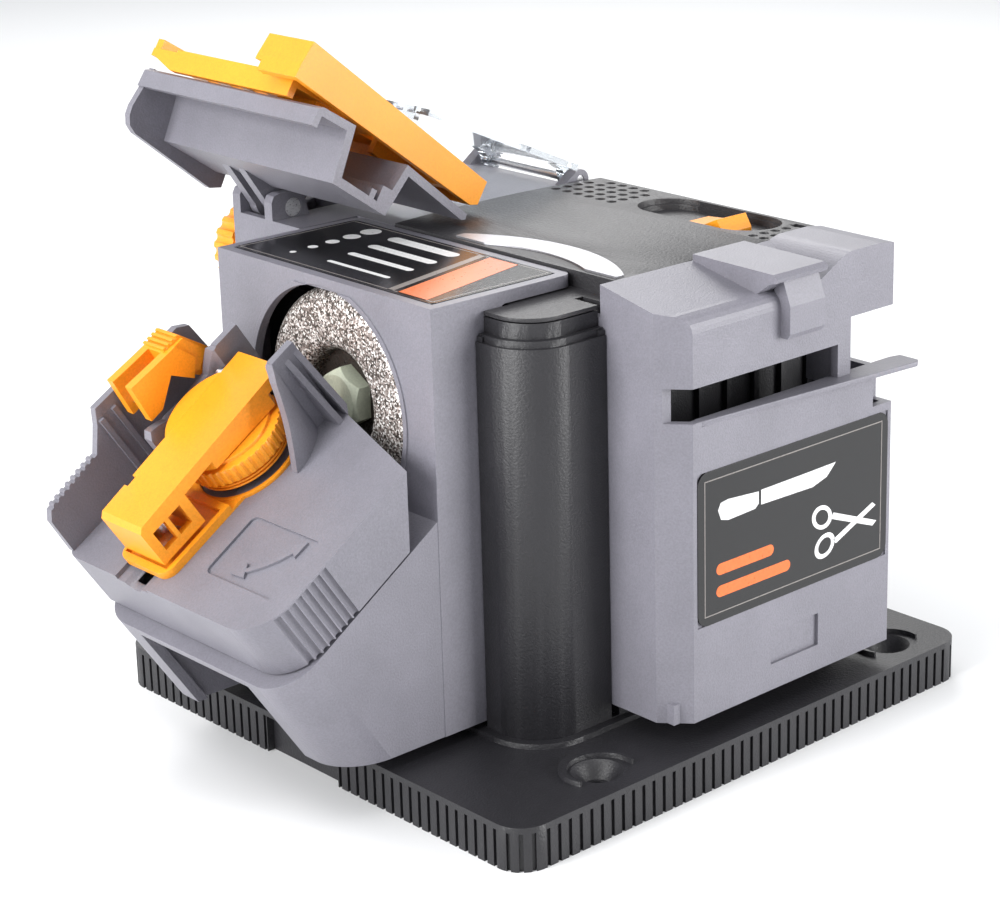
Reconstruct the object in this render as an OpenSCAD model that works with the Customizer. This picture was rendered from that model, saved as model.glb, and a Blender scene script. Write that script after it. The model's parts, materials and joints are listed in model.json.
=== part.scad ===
// Electric multi-purpose sharpener: motor tower on a flat base, one cup wheel, three slide-on attachments.
// Millimetres, +Z up. The wheel shaft runs along X; the drill attachment faces -X, the knife one -Y.
// Body groups: base and motor stay still; rotor, rocker and attachments move as separate bodies.

/* [Base plate] */
// Side length of the square base plate
base_w = 184; // [150:1:220]
// Corner radius of the base plate
base_r = 9; // [4:0.5:20]
// Height of the base plate
base_h = 13; // [9:0.5:20]
// Thickness of the base plate's deck
base_t = 3.5; // [2:0.5:6]
// Thickness of the base plate's rim
rim_t = 3.5; // [2.5:0.5:6]
// Height of the smooth lip above the fluted rim
lip_h = 1.8; // [1:0.2:4]
// Distance between two flutes of the rim
flute_pitch = 3.9; // [2.5:0.1:6]
// Width of one flute
flute_w = 1.2; // [0.6:0.1:2]
// Depth of one flute
flute_d = 0.9; // [0.3:0.1:1.5]
// Length of the plain set-back stretch in the rim
bay_len = 33; // [20:1:60]
// Depth of the plain set-back stretch
bay_d = 2.4; // [1:0.2:3]
// Bolt hole spacing along X
bolt_dx = 122; // [100:1:140]
// Bolt hole spacing along Y
bolt_dy = 158; // [140:1:166]
// X position of the bolt pattern's centre
bolt_cx = 9; // [-10:1:20]
// Radius of the bolt holes
bolt_r = 3; // [2:0.25:4]
// Radius of the countersunk seat round each bolt hole
seat_r = 7.4; // [5:0.2:10]
// Height of the raised crescent behind each bolt seat
cres_h = 1.4; // [0.5:0.1:3]
// Height of the step round the motor housing's foot
plinth_h = 1.6; // [1:0.2:3]
// Width of the step round the motor housing's foot
plinth_w = 2.8; // [1:0.2:5]

/* [Motor housing] */
// Housing's face on the -X side
hx0 = -57; // [-65:0.5:-50]
// Housing's face on the +X side
hx1 = 68; // [60:0.5:80]
// Housing's face on the -Y side
hy0 = -60; // [-70:0.5:-50]
// Housing's face on the +Y side
hy1 = 62; // [50:0.5:70]
// Top of the housing's body
hz1 = 131; // [120:0.5:140]
// Wall thickness of the housing
h_wall = 3; // [2:0.25:4]
// Radius of the housing's near corner
h_rn = 15; // [5:0.5:20]
// Radius of the housing's other corners
h_ro = 5; // [2:0.5:10]
// Height of the neck that carries the top cover
neck_h = 4.4; // [2:0.1:7]
// Inset of the neck and of the top cover
neck_in = 3.2; // [2:0.1:5]
// Distance between the cooling ribs on the -Y face
hrib_pitch = 11.5; // [8:0.5:16]
// Height of the cooling ribs above the face
hrib_d = 1.8; // [1:0.1:2.2]
// Width of a rail groove
gr_w = 3.1; // [3:0.1:5]
// Depth of a rail groove
gr_d = 12.5; // [8:0.5:18]
// Depth of the chisel attachment's rail grooves
cg_d = 3.8; // [3:0.1:6]
// Wall thickness round a rail groove
gr_t = 2.2; // [1.5:0.1:4]

/* [Top cover] */
// Gap between the housing's neck and the top cover
cov_g = 0.4; // [0.3:0.1:1]
// Thickness of the cover's low deck under the attachments
cov_lt = 1.1; // [0.8:0.1:2]
// Height of the cover's raised deck above the low one
cov_hi = 4.7; // [3:0.1:8]
// Left edge of the raised deck
cov_x0 = -20; // [-30:0.5:0]
// Back edge of the raised deck
cov_y1 = 40.4; // [30:0.2:50]
// Wall thickness of the cover
cov_t = 2.4; // [1.5:0.1:4]
// Thickness of the silver badge strip
badge_t = 0.8; // [0.4:0.1:1.5]
// Radius of one air hole
vent_r = 1.6; // [1:0.1:2.5]
// Distance between air holes
vent_p = 4.8; // [3.5:0.1:7]
// Depth of the recess round the rocker switch
sw_d = 3; // [1.5:0.1:4]
// X position of the rocker switch
sw_x = 50.5; // [35:0.5:52]
// Y position of the rocker switch
sw_y = -25; // [-45:0.5:-20]
// Length of the rocker
sw_l = 20; // [14:0.5:26]
// Width of the rocker
sw_w = 12.5; // [9:0.5:16]

/* [Motor and wheel] */
// Y position of the shaft
ax_y = 8.5; // [0:0.5:15]
// Height of the shaft
ax_z = 104.5; // [95:0.5:110]
// Where the motor's iron stack starts
st_x = -14; // [-18:0.5:-10]
// Radius of the motor's iron stack
st_r = 25; // [20:0.5:28]
// Length of the motor's iron stack
st_l = 40; // [25:1:50]
// Radius of the armature
arm_r = 15.5; // [10:0.5:18]
// Radius of the shaft
sh_r = 3; // [2:0.5:5]
// Outer radius of the bearings
bg_r = 9.5; // [7:0.5:13]
// Width of the bearings
bg_w = 6; // [4:0.5:8]
// Outer radius of the cup wheel
wh_r = 32.4; // [28:0.2:34]
// Inner radius of the cup wheel's rim
wh_ri = 14; // [10:0.5:20]
// Position of the cup wheel's face
wh_x0 = -69.2; // [-70:0.1:-67]
// Position of the cup wheel's back
wh_x1 = -58.2; // [-60:0.1:-57.5]
// Radius of the rounded edges of the cup wheel's rim
wh_e = 5; // [2:0.5:8]
// Across-corner radius of the hub nut
nut_r = 9.5; // [6:0.5:12]

/* [Drill attachment] */
// Front face of the drill attachment
dx0 = -72; // [-80:0.5:-65]
// Side face on the -Y side
dy0 = -38.5; // [-45:0.5:-30]
// Side face on the +Y side
dy1 = 58; // [50:0.5:65]
// Lower edge of the drill attachment
dz0 = 16.5; // [15:0.5:25]
// Height of the drill attachment's top over the cover's low deck
d_top = 4.1; // [2:0.1:8]
// Right edge of its top plate
dx1 = -20.6; // [-30:0.2:-10]
// Thickness of its walls
d_t = 2.3; // [1.5:0.1:3]
// Radius of the window in front of the wheel
win_r = 34; // [30:0.2:36]
// How far the side rails end below the housing's top
d_rail_b = 2.7; // [1:0.1:20]
// How far the rails reach into the housing
rail_in = 11; // [8:0.5:14]
// Front of the nose, measured along the slope
nose_s0 = -31.3; // [-36:0.1:-25]
// Level of the nose's deck below the cradle plate
nose_o = -20; // [-24:0.5:-16]
// Thickness of the nose's walls
nose_t = 3; // [2:0.5:5]
// Left face of the nose
nose_y1 = 50; // [45:0.5:55]
// Radius of the nose's front corners
nose_r = 13; // [8:0.5:18]
// Label thickness
lab_t = 0.5; // [0.3:0.1:1]

/* [Drill cradle] */
// Slope of the cradle plate
cr_a = 33.5; // [25:0.5:45]
// World X of the cradle's reference point
cr_x = -110.5; // [-120:0.5:-100]
// World Z of the cradle's reference point
cr_z = 79.2; // [70:0.1:90]
// Front edge of the cradle along the slope
cr_s0 = -27; // [-32:0.5:-20]
// Left side of the cradle
cr_y1 = 52.5; // [48:0.5:56]
// Height of the cradle's skirt
cr_h = 19.6; // [14:0.2:24]
// Thickness of the cradle plate
cr_t = 3; // [2:0.25:5]
// Thickness of the cradle's walls
cr_w = 2.5; // [1.5:0.25:4]
// Swing axis position along the slope
piv_s = 8; // [0:0.5:20]
// Swing axis position across the slope
piv_y = 7; // [0:0.5:12]
// Radius of the swing pin
piv_r = 3; // [2:0.25:5]
// Corner radius at the front of the cradle
cr_r = 14; // [8:0.5:18]
// Position of the knurled wheel along the slope
kn_s = 21; // [15:0.5:28]
// Position of the knurled wheel across the slope
kn_y = 18.5; // [14:0.5:22]
// Radius of the knurled wheel
kn_r = 16; // [12:0.2:17]
// Height of the two guide fins
fin_h = 26; // [18:0.5:32]
// Thickness of the guide fins
fin_t = 2.5; // [1.5:0.25:4]

/* [Knife attachment] */
// Left side face
kx0 = -28; // [-35:0.5:-20]
// Right side face
kx1 = 62; // [55:0.5:64]
// Front face
ky0 = -86; // [-92:0.5:-75]
// Lower edge
kz0 = 19; // [15:0.5:25]
// Height of the knife attachment's top over the cover's low deck
k_top = 7.1; // [5:0.1:12]
// Thickness of its walls
k_t = 2.5; // [1.5:0.1:4]
// Size of the near corner's chamfer
k_ch = 8; // [4:0.5:12]
// Lower edge of the knife slot
slot_z0 = 107.5; // [100:0.5:112]
// Upper edge of the knife slot
slot_z1 = 117.4; // [112:0.5:122]
// How far the side rails reach above the housing's top
k_rail_a = 2.5; // [0:0.1:3]

/* [Chisel attachment] */
// Left side face
cx0 = -42; // [-50:0.5:-30]
// Right side face
cx1 = 54; // [45:0.5:60]
// Back face
cy1 = 93; // [85:0.5:100]
// Lower edge
cz0 = 19; // [15:0.5:25]
// Height of the chisel attachment's top over the cover's low deck
c_top = 4.1; // [2:0.1:8]
// Slope of the tool table
tb_a = 32; // [20:0.5:45]
// World X of the table's reference point
tb_x = -42; // [-50:0.5:-35]
// Height of the table's reference point over the attachment's top
tb_up = 24; // [18:0.5:30]
// Near end of the table
tb_y0 = 22; // [10:0.5:30]
// Far end of the table
tb_y1 = 108; // [95:0.5:115]
// X position of the table's hinge
hp_x = -34; // [-40:0.5:-28]
// Height of the table's hinge over the attachment's top
hp_up = 3; // [2:0.5:6]
// Radius of the table's hinge pin
hp_r = 3; // [2:0.25:4]
// X position of the shield's hinge
sp_x = 57.6; // [55:0.2:60]
// Height of the shield's hinge over the attachment's top
sp_up = 1; // [0.5:0.5:4]
// Radius of the angle lock knob
lk_r = 14; // [10:0.5:18]
// X position of the angle lock knob
lk_x = -28; // [-34:0.5:-20]
// Drop of the angle lock knob below the attachment's top
lk_dn = 15; // [10:0.5:20]

/* [Fits] */
// Gap kept between two bodies that move past each other
gap = 0.3; // [0.2:0.05:0.6]
// Radial clearance of a pin in its bore
fit = 0.05; // [0.01:0.01:0.1]

/* [Hidden] */
$fn = 64;
e = 0.01;
neck_z = hz1 + neck_h;
cov_z0 = neck_z + cov_g;
cov_low = cov_z0 + cov_lt;
cov_z1 = cov_low + cov_hi;
sw_z = cov_z1 - sw_d;
dz1 = cov_low + d_top;
d_rail_z = hz1 - d_rail_b;
kz1 = cov_low + k_top;
k_rail_z = hz1 + k_rail_a;
cz1 = cov_low + c_top;
tb_z = cz1 + tb_up;
hp_z = cz1 + hp_up;
sp_z = cz1 + sp_up;
lk_z = cz1 - lk_dn;
// centre line of the three rail pairs
dg_y = [dy0 + d_t / 2, dy1 - d_t / 2];
kg_x = [kx0 + k_t / 2, kx1 - k_t / 2];
cg_x = [cx0 + k_t / 2, cx1 - k_t / 2];
black = [0.09, 0.09, 0.1];
grey = [0.55, 0.55, 0.6];
orange = [0.95, 0.55, 0.05];
steel = [0.7, 0.7, 0.72];
copper = [0.72, 0.4, 0.2];

// ---- shared shapes ----
// rectangle from (x0,y0) to (x1,y1) with its own radius at each corner
module rr(x0, y0, x1, y1, a, b, c, d) {
  difference() {
    translate([x0, y0]) square([x1 - x0, y1 - y0]);
    if (a > 0) translate([x0, y0]) difference() { square(a); translate([a, a]) circle(a); }
    if (b > 0) translate([x1, y0]) mirror([1, 0]) difference() { square(b); translate([b, b]) circle(b); }
    if (c > 0) translate([x1, y1]) rotate(180) difference() { square(c); translate([c, c]) circle(c); }
    if (d > 0) translate([x0, y1]) mirror([0, 1]) difference() { square(d); translate([d, d]) circle(d); }
  }
}
// cradle frame: x runs up the slope, z leaves the plate
module tc() { translate([cr_x, 0, cr_z]) rotate([0, -cr_a, 0]) children(); }
// table frame: x runs down the slope, z leaves the table
module tt() { translate([tb_x, 0, tb_z]) rotate([0, tb_a, 0]) children(); }
// motor frame: z runs along the shaft
module tm(x) { translate([x, ax_y, ax_z]) rotate([0, 90, 0]) children(); }
// a profile in (x, z) pushed along y from y0 to y1
module ypush(y0, y1) { translate([0, y1, 0]) rotate([90, 0, 0]) linear_extrude(y1 - y0) children(); }
module cyl_y(x, z, y0, y1, r) { translate([x, y0, z]) rotate([-90, 0, 0]) cylinder(h = y1 - y0, r = r); }

// ---- base ----
bay_y = 2;
module flutes_side(skip) {
  n = floor((base_w - 2 * base_r) / flute_pitch);
  for (i = [0 : n]) {
    y = (i - n / 2) * flute_pitch;
    if (!(skip && abs(y + bay_y) < bay_len / 2 + 1))
      translate([base_w / 2 - flute_d, y - flute_w / 2]) square([flute_d + 1, flute_w]);
  }
  for (k = [1 : 3])
    translate([base_w / 2 - base_r, base_w / 2 - base_r]) rotate(k * 22.5)
      translate([base_r - flute_d, -flute_w / 2]) square([flute_d + 1, flute_w]);
}
module base_rim2d() {
  difference() {
    rr(-base_w / 2, -base_w / 2, base_w / 2, base_w / 2, base_r, base_r, base_r, base_r);
    for (k = [0 : 3]) rotate(90 * k) flutes_side(k == 2);
  }
}
module crescent() {
  difference() {
    cylinder(h = cres_h, r = seat_r + 3.4);
    translate([0, -1.7, -e]) cylinder(h = cres_h + 1, r = seat_r + 2.2);
    translate([-20, -20, -e]) cube([40, 16, cres_h + 1]);
  }
}
module at_bolts() {
  for (i = [-1, 1]) for (j = [-1, 1])
    translate([bolt_cx + i * bolt_dx / 2, j * bolt_dy / 2, 0]) rotate(j > 0 ? 180 : 0) children();
}
boss_xy = [[hx0 + 15, hy0 + 12], [hx1 - 12, hy0 + 12], [hx0 + 24, hy1 - 12], [hx1 - 24, hy1 - 12]];
module base_plate() color(black) {
  iw = base_w - 2 * rim_t;
  difference() {
    union() {
      difference() {
        union() {
          linear_extrude(base_h - lip_h) base_rim2d();
          translate([0, 0, base_h - lip_h]) linear_extrude(lip_h)
            rr(-base_w / 2, -base_w / 2, base_w / 2, base_w / 2, base_r, base_r, base_r, base_r);
        }
        translate([0, 0, -1]) linear_extrude(base_h - base_t + 1)
          rr(-iw / 2, -iw / 2, iw / 2, iw / 2, base_r - rim_t, base_r - rim_t, base_r - rim_t, base_r - rim_t);
        translate([-base_w / 2 - 1, bay_y - bay_len / 2, -1]) cube([bay_d + 1, bay_len, base_h - lip_h + 1]);
      }
      // stiffening ribs under the deck
      for (x = [-60, -20, 20, 60]) translate([x - 1, -iw / 2, 1.5]) cube([2, iw, base_h - base_t - 1.5 + e]);
      for (y = [-46, 0, 46]) translate([-iw / 2, y - 1, 1.5]) cube([iw, 2, base_h - base_t - 1.5 + e]);
      // wall behind the set-back stretch
      translate([-base_w / 2 + bay_d, bay_y - bay_len / 2 - 2, 0]) cube([2.5, bay_len + 4, base_h - 1]);
      // step that locates the motor housing
      translate([0, 0, base_h - e]) linear_extrude(plinth_h + e)
        rr(hx0 - plinth_w, hy0 - plinth_w, hx1 + plinth_w, hy1 + plinth_w, h_rn + plinth_w, h_ro, h_ro, h_ro);
      // bolt bosses and their crescents
      at_bolts() cylinder(h = base_h, r = seat_r + 2.4);
      at_bolts() translate([0, 0, base_h - e]) crescent();
      for (p = boss_xy) translate([p[0], p[1], 2]) cylinder(h = base_h - 2, r = 5.5);
    }
    at_bolts() translate([0, 0, -1]) cylinder(h = base_h + 2, r = bolt_r);
    at_bolts() translate([0, 0, base_h - 4.5]) cylinder(h = 4.5 + e, r1 = bolt_r + 0.8, r2 = seat_r);
    // clearance for the housing screws
    for (p = boss_xy) translate([p[0], p[1], -1]) cylinder(h = 30, r = 1.8);
    for (p = boss_xy) translate([p[0], p[1], -1]) cylinder(h = 7.5, r = 3.6);
    // seat for the housing's foot
    translate([0, 0, base_h + plinth_h - 1]) linear_extrude(2) rr(hx0, hy0, hx1, hy1, h_rn, h_ro, h_ro, h_ro);
  }
}
foot_z = base_h + plinth_h - 1;
module housing_screws() color(steel) {
  for (p = boss_xy) translate([p[0], p[1], 0]) difference() {
    union() {
      translate([0, 0, 3.7]) cylinder(h = 2.8, r = 3.1);
      translate([0, 0, 6.4]) cylinder(h = 16, r = 1.6);
    }
    for (a = [0, 90]) rotate(a) translate([-2, -0.4, 3.5]) cube([4, 0.8, 1.4]);
  }
}

// ---- housing ----
module hous2d(i) {
  rr(hx0 + i, hy0 + i, hx1 - i, hy1 - i, max(h_rn - i, 1), max(h_ro - i, 1), max(h_ro - i, 1), max(h_ro - i, 1));
}
// every rail groove, grown by g on each side and t at its end
module grooves(g, t, z0, z1) {
  for (y = dg_y) translate([hx0 - 1, y - gr_w / 2 - g, z0]) cube([gr_d + 1 + t, gr_w + 2 * g, z1 - z0]);
  for (x = kg_x) translate([x - gr_w / 2 - g, hy0 - 1, z0]) cube([gr_w + 2 * g, gr_d + 1 + t, z1 - z0]);
  for (x = cg_x) translate([x - gr_w / 2 - g, hy1 - cg_d - t, z0]) cube([gr_w + 2 * g, cg_d + 1 + t, z1 - z0]);
}
module motor_housing() color(black) {
  difference() {
    union() {
      difference() {
        union() {
          translate([0, 0, foot_z]) linear_extrude(hz1 - 2 - foot_z) hous2d(0);
          translate([0, 0, hz1 - 2 - e]) linear_extrude(2) hous2d(1.2);
          translate([0, 0, hz1 - 3]) linear_extrude(neck_z - hz1 + 3) hous2d(neck_in);
        }
        translate([0, 0, foot_z - 1]) linear_extrude(hz1 - 3 - foot_z + 1) hous2d(h_wall);
        translate([0, 0, hz1 - 10]) linear_extrude(30) hous2d(neck_in + 2.4);
      }
      intersection() {
        grooves(gr_t, gr_t, foot_z, hz1 - 0.5);
        translate([0, 0, foot_z]) linear_extrude(hz1 - foot_z) hous2d(0.5);
      }
      // cooling ribs behind the knife attachment
      for (i = [0 : 6]) translate([-17 + i * hrib_pitch, hy0 - hrib_d, 22]) cube([2, hrib_d + 1, 104]);
      // ribs that back the housing's foot
      for (p = boss_xy) translate([p[0], p[1], foot_z]) cylinder(h = 24, r = 5);
      for (p = boss_xy) translate([p[0] < 0 ? hx0 + 1 : p[0], p[1] - 1, foot_z])
        cube([p[0] < 0 ? p[0] - hx0 : hx1 - p[0] - 1, 2, 20]);
      // shelves that carry the motor mounts
      for (x = [-39.5, 50]) translate([x, hy0 + 2, ax_z - 34]) cube([4, hy1 - hy0 - 4, 4]);
    }
    grooves(0, 0, foot_z + 1.2, 150);
    for (p = boss_xy) translate([p[0], p[1], foot_z - 1]) cylinder(h = 20, r = 1.6);
    // shaft opening in the -X wall
    tm(hx0 - 2) cylinder(h = 8, r = sh_r + 4);
    // air slots low in the +X wall
    for (i = [0 : 5]) translate([hx1 - 5, -31 + i * 9, 32]) cube([8, 4, 26]);
    // gland seat
    translate([hx1 - 5, gl_y, gl_z]) rotate([0, 90, 0]) cylinder(h = 8, r = 5);
  }
}
gl_y = 34;
gl_z = 26;
module cord_gland() color(black) translate([hx1, gl_y, gl_z]) rotate([0, 90, 0]) difference() {
  union() {
    translate([0, 0, -5.5]) cylinder(h = 2, r = 7);
    translate([0, 0, -4]) cylinder(h = 4 + e, r = 5);
    cylinder(h = 2, r = 7.5);
    translate([0, 0, 2 - e]) cylinder(h = 10, r1 = 5.2, r2 = 4.4);
  }
  translate([0, 0, -6]) cylinder(h = 30, r = 3.2);
  for (i = [0 : 2]) translate([-8, -1.2, 4 + i * 2.8]) cube([5.2, 2.4, 1.2]);
  for (i = [0 : 2]) translate([2.8, -1.2, 4 + i * 2.8]) cube([5.2, 2.4, 1.2]);
}

// ---- top cover ----
oval_x = sw_x + 1.5;
oval_y0 = -46.4;
oval_y1 = 4.4;
oval_w = 21;
module oval2d(g) {
  r = oval_w / 2 + g;
  translate([oval_x, oval_y0 + oval_w / 2]) circle(r);
  translate([oval_x, oval_y1 - oval_w / 2]) circle(r);
  translate([oval_x - r, oval_y0 + oval_w / 2]) square([2 * r, oval_y1 - oval_y0 - oval_w]);
}
module vents2d() {
  // large field towards +Y and small field towards -Y
  for (i = [0 : 4]) for (j = [0 : 5]) if (i + j > 0 && i + 5 - j > 0)
    translate([sw_x + 10.6 - i * vent_p, 11.2 + j * (vent_p + 0.3)]) circle(vent_r, $fn = 32);
  for (i = [0 : 4]) translate([sw_x + 9.6 - i * vent_p, -49.8]) circle(vent_r - 0.1, $fn = 32);
  for (i = [1 : 4]) translate([sw_x + 9.6 - i * vent_p, -54.2]) circle(vent_r - 0.1, $fn = 32);
}
module hi2d(i) {
  intersection() {
    hous2d(neck_in + i);
    translate([cov_x0 + i, hy0]) square([hx1 - cov_x0 - i, cov_y1 - hy0 - i]);
  }
}
module cov_dome(g) {
  // gently arched crown of the raised deck
  intersection() {
    translate([22, 0, cov_z1 + 1.2 - g - 900]) rotate([90, 0, 0]) cylinder(h = 200, r = 900, center = true, $fn = 360);
    translate([cov_x0 - 1, hy0 - 1, cov_z0]) cube([100, 110, 10]);
  }
}
module top_cover() color(black) {
  difference() {
    union() {
      translate([0, 0, cov_z0]) linear_extrude(cov_low - cov_z0) hous2d(neck_in);
      intersection() {
        translate([0, 0, cov_low - e]) linear_extrude(10) hi2d(0);
        cov_dome(0);
      }
      // skirt inside the neck
      translate([0, 0, neck_z - 4]) linear_extrude(cov_z0 - neck_z + 4 + e) difference() {
        hous2d(neck_in + 2.7);
        hous2d(neck_in + 4.6);
      }
    }
    // hollow under the raised deck, clear of the recess
    difference() {
      intersection() {
        translate([0, 0, cov_z0 - 1]) linear_extrude(10) hi2d(cov_t + 3);
        cov_dome(cov_t);
      }
      linear_extrude(300) oval2d(2.2);
    }
    // recess for the switch
    translate([0, 0, sw_z]) linear_extrude(10) oval2d(0);
    translate([0, 0, sw_z + 1.8]) linear_extrude(10) oval2d(0.8);
    difference() {
      translate([0, 0, cov_z1 - 4]) linear_extrude(10) vents2d();
      cov_dome(0.9);
    }
    translate([sw_x - 9, sw_y - 12.5, cov_z0 - 2]) cube([18, 25, 10]);
    // badge seat
    translate([0, 0, cov_z1 - 0.7]) linear_extrude(6) badge2d(0);
    grooves(0, 0, foot_z, 150);
  }
}
module badge2d(g) {
  intersection() {
    translate([-60, -20]) difference() {
      circle(56 - g, $fn = 180);
      translate([-6, 0]) circle(52 + g, $fn = 180);
    }
    translate([-18.6 + g, -54 + g]) square([30, 68 - 2 * g]);
  }
}
module cover_badge() color([0.8, 0.8, 0.82])
  translate([0, 0, cov_z1 - 0.7]) linear_extrude(badge_t + 0.8) badge2d(0);
rk_z = sw_z - 2;
module switch_frame() color(black) translate([sw_x, sw_y, 0]) {
  difference() {
    translate([-8.8, -12.3, cov_z0 - 16]) cube([17.6, 24.6, 16 + sw_z - cov_z0]);
    translate([-sw_w / 2 - gap, -sw_l / 2 - gap, cov_z0 - 8]) cube([sw_w + 2 * gap, sw_l + 2 * gap, 30]);
    translate([-10, 0, rk_z]) rotate([0, 90, 0]) cylinder(h = 20, r = 1.2 + fit);
  }
  // contact blades under the switch body
  for (s = [-1, 1]) translate([s * 3 - 0.5, 8, cov_z0 - 22]) cube([1, 4, 6 + e]);
}
module switch_rocker() color(orange) translate([sw_x, sw_y, rk_z]) {
  rotate([0, 90, 0]) translate([0, 0, -8.6]) cylinder(h = 17.2, r = 1.2);
  // one end stands proud, two flats meet over the pivot
  translate([-sw_w / 2, 0, 0]) rotate([90, 0, 90]) linear_extrude(sw_w)
    polygon([[-9.2, 0.5], [-9.4, 3.2], [-6.9, 7.2], [0, 4.1], [8.9, 3.4], [9.6, 1], [9.3, -1.5], [3, -4], [-3, -4]]);
}

// ---- motor ----
module motor_mounts() color(black) {
  for (x = [-38.5, 49.5]) difference() {
    union() {
      tm(x) cylinder(h = 7, r = bg_r + 3);
      translate([x, ax_y - 30, ax_z - 2]) cube([5, 60, 4]);
      translate([x, ax_y - 2, ax_z - 30]) cube([5, 4, 52]);
      translate([x, ax_y - 30, ax_z - 30]) cube([5, 60, 4]);
      for (s = [-1, 1]) translate([x, ax_y + s * 28 - 2, ax_z - 30]) cube([5, 4, 32]);
      // rails that clasp the flats of the iron stack
      if (x < 0) for (s = [-1, 1]) translate([x + 4, ax_y + s * 25 - 2, ax_z - 4])
        cube([st_x + st_l + 8 - x - 4, 4, 8]);
    }
    tm(x - 1) cylinder(h = 9, r = sh_r + 1.5);
    tm(x + (x < 0 ? 1 : -1)) cylinder(h = 7, r = bg_r);
  }
}
module stator() color([0.45, 0.45, 0.47]) tm(st_x) difference() {
  intersection() {
    cylinder(h = st_l, r = st_r);
    translate([-st_r, -st_r + 2, 0]) cube([2 * st_r, 2 * st_r - 4, st_l]);
  }
  translate([0, 0, -1]) cylinder(h = st_l + 2, r = arm_r + 0.6);
  // coil windows
  for (s = [-1, 1]) translate([-10, s * 17.5 - 2.2, -1]) cube([20, 4.4, st_l + 2]);
}
module field_coils() color(copper) tm(st_x) {
  for (s = [-1, 1]) difference() {
    translate([-9.7, s * 17.5 - 1.9, -7]) cube([19.4, 3.8, st_l + 14]);
    translate([-7, s * 17.5 - 4, -4]) cube([14, 8, 3.5]);
    translate([-7, s * 17.5 - 4, st_l + 0.5]) cube([14, 8, 3.5]);
  }
}
module armature() color([0.5, 0.5, 0.52]) tm(st_x) difference() {
  cylinder(h = st_l, r = arm_r);
  translate([0, 0, -1]) cylinder(h = st_l + 2, r = sh_r);
  for (k = [0 : 11]) rotate(k * 30) translate([arm_r - 4, -0.8, -1]) cube([6, 1.6, st_l + 2]);
}
module armature_windings() color(copper) tm(st_x) {
  for (z = [-5, st_l]) translate([0, 0, z]) difference() {
    cylinder(h = 5, r = arm_r - 2.5);
    translate([0, 0, -1]) cylinder(h = 7, r = sh_r);
  }
}
module commutator() color(copper) tm(st_x + st_l + 6) difference() {
  cylinder(h = 11, r = 8);
  translate([0, 0, -1]) cylinder(h = 13, r = sh_r);
  for (k = [0 : 23]) rotate(k * 15) translate([7.3, -0.2, 1]) cube([2, 0.4, 12]);
}
module brush_holders() color([0.75, 0.6, 0.3]) {
  for (s = [-1, 1]) translate([st_x + st_l + 8, ax_y + s * 17 - 6, ax_z - 4]) difference() {
    cube([7, 12, 8]);
    translate([1.5, -1, 1.5]) cube([4, 14, 5]);
  }
  // bridge that ties the holders to the rear mount
  for (s = [-1, 1]) translate([st_x + st_l + 8, ax_y + s * 25 - 2, ax_z - 4]) cube([41.5 - st_x - st_l, 4, 8]);
}
module brushes() color([0.2, 0.2, 0.2]) {
  for (s = [-1, 1]) translate([st_x + st_l + 9.5, ax_y + (s > 0 ? 8.05 : -20.05), ax_z - 2.5]) cube([4, 12, 5]);
}
module bearing(x) {
  tm(x) difference() {
    cylinder(h = bg_w, r = bg_r);
    translate([0, 0, -1]) cylinder(h = bg_w + 2, r = sh_r + fit);
    for (z = [-1, bg_w - 0.6]) translate([0, 0, z]) difference() {
      cylinder(h = 1.6, r = bg_r - 1.8);
      translate([0, 0, -1]) cylinder(h = 4, r = sh_r + 1.6);
    }
  }
}
module bearing_front() color(steel) bearing(-37.5);
module bearing_rear() color(steel) bearing(48.5);
module shaft() color(steel) tm(0) {
  translate([0, 0, wh_x0 + 1.5]) cylinder(h = 57.5 - wh_x0 - 1.5, r = sh_r);
  translate([0, 0, -31.2]) cylinder(h = 2.2, r = sh_r + 2.2);
}
module cooling_fan() color(black) tm(-29) {
  difference() {
    union() {
      cylinder(h = 1.2, r = 15);
      cylinder(h = 6.5, r = 6);
      for (k = [0 : 10]) rotate(k * 360 / 11) translate([5.5, -0.6, 1]) cube([13, 1.2, 5.5]);
    }
    translate([0, 0, -1]) cylinder(h = 10, r = sh_r);
  }
}
module wheel_flange() color(steel) tm(-57.6) mirror([0, 0, 1]) difference() {
  union() {
    translate([0, 0, -2.6]) cylinder(h = 2.6 + e, r = sh_r + 3);
    translate([0, 0, 0.6]) cylinder(h = 2, r = 12);
    cylinder(h = 2.6, r = sh_r + 3);
  }
  translate([0, 0, -4]) cylinder(h = 12, r = sh_r);
}
module diamond_wheel() color([0.6, 0.55, 0.5]) tm(0) {
  // cup: rounded rim, thin web seated on the flange
  rotate_extrude() difference() {
    union() {
      translate([wh_ri, wh_x0 + wh_e]) square([wh_r - wh_ri, wh_x1 - wh_x0 - wh_e - 0.8]);
      translate([wh_ri + wh_e, wh_x0]) square([wh_r - wh_ri - 2 * wh_e, wh_e + e]);
      translate([wh_r - wh_e, wh_x0 + wh_e]) circle(wh_e);
      translate([wh_ri + wh_e, wh_x0 + wh_e]) circle(wh_e);
      translate([sh_r, -63.2]) square([wh_ri, 3]);
      translate([wh_ri - 1, -63.2]) square([4, 3.6]);
    }
    translate([0, -60.2]) square([12.2, 5]);
    translate([sh_r - 5, -80]) square([5, 40]);
  }
}
module hub_nut() color([0.85, 0.88, 0.78]) tm(0) difference() {
  intersection() {
    translate([0, 0, -69]) cylinder(h = 5.8, r = nut_r, $fn = 6);
    union() {
      translate([0, 0, -69]) cylinder(h = 2, r1 = nut_r - 2, r2 = nut_r);
      translate([0, 0, -67]) cylinder(h = 4, r = nut_r);
    }
  }
  translate([0, 0, -67.9]) cylinder(h = 6, r = sh_r);
}

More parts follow.
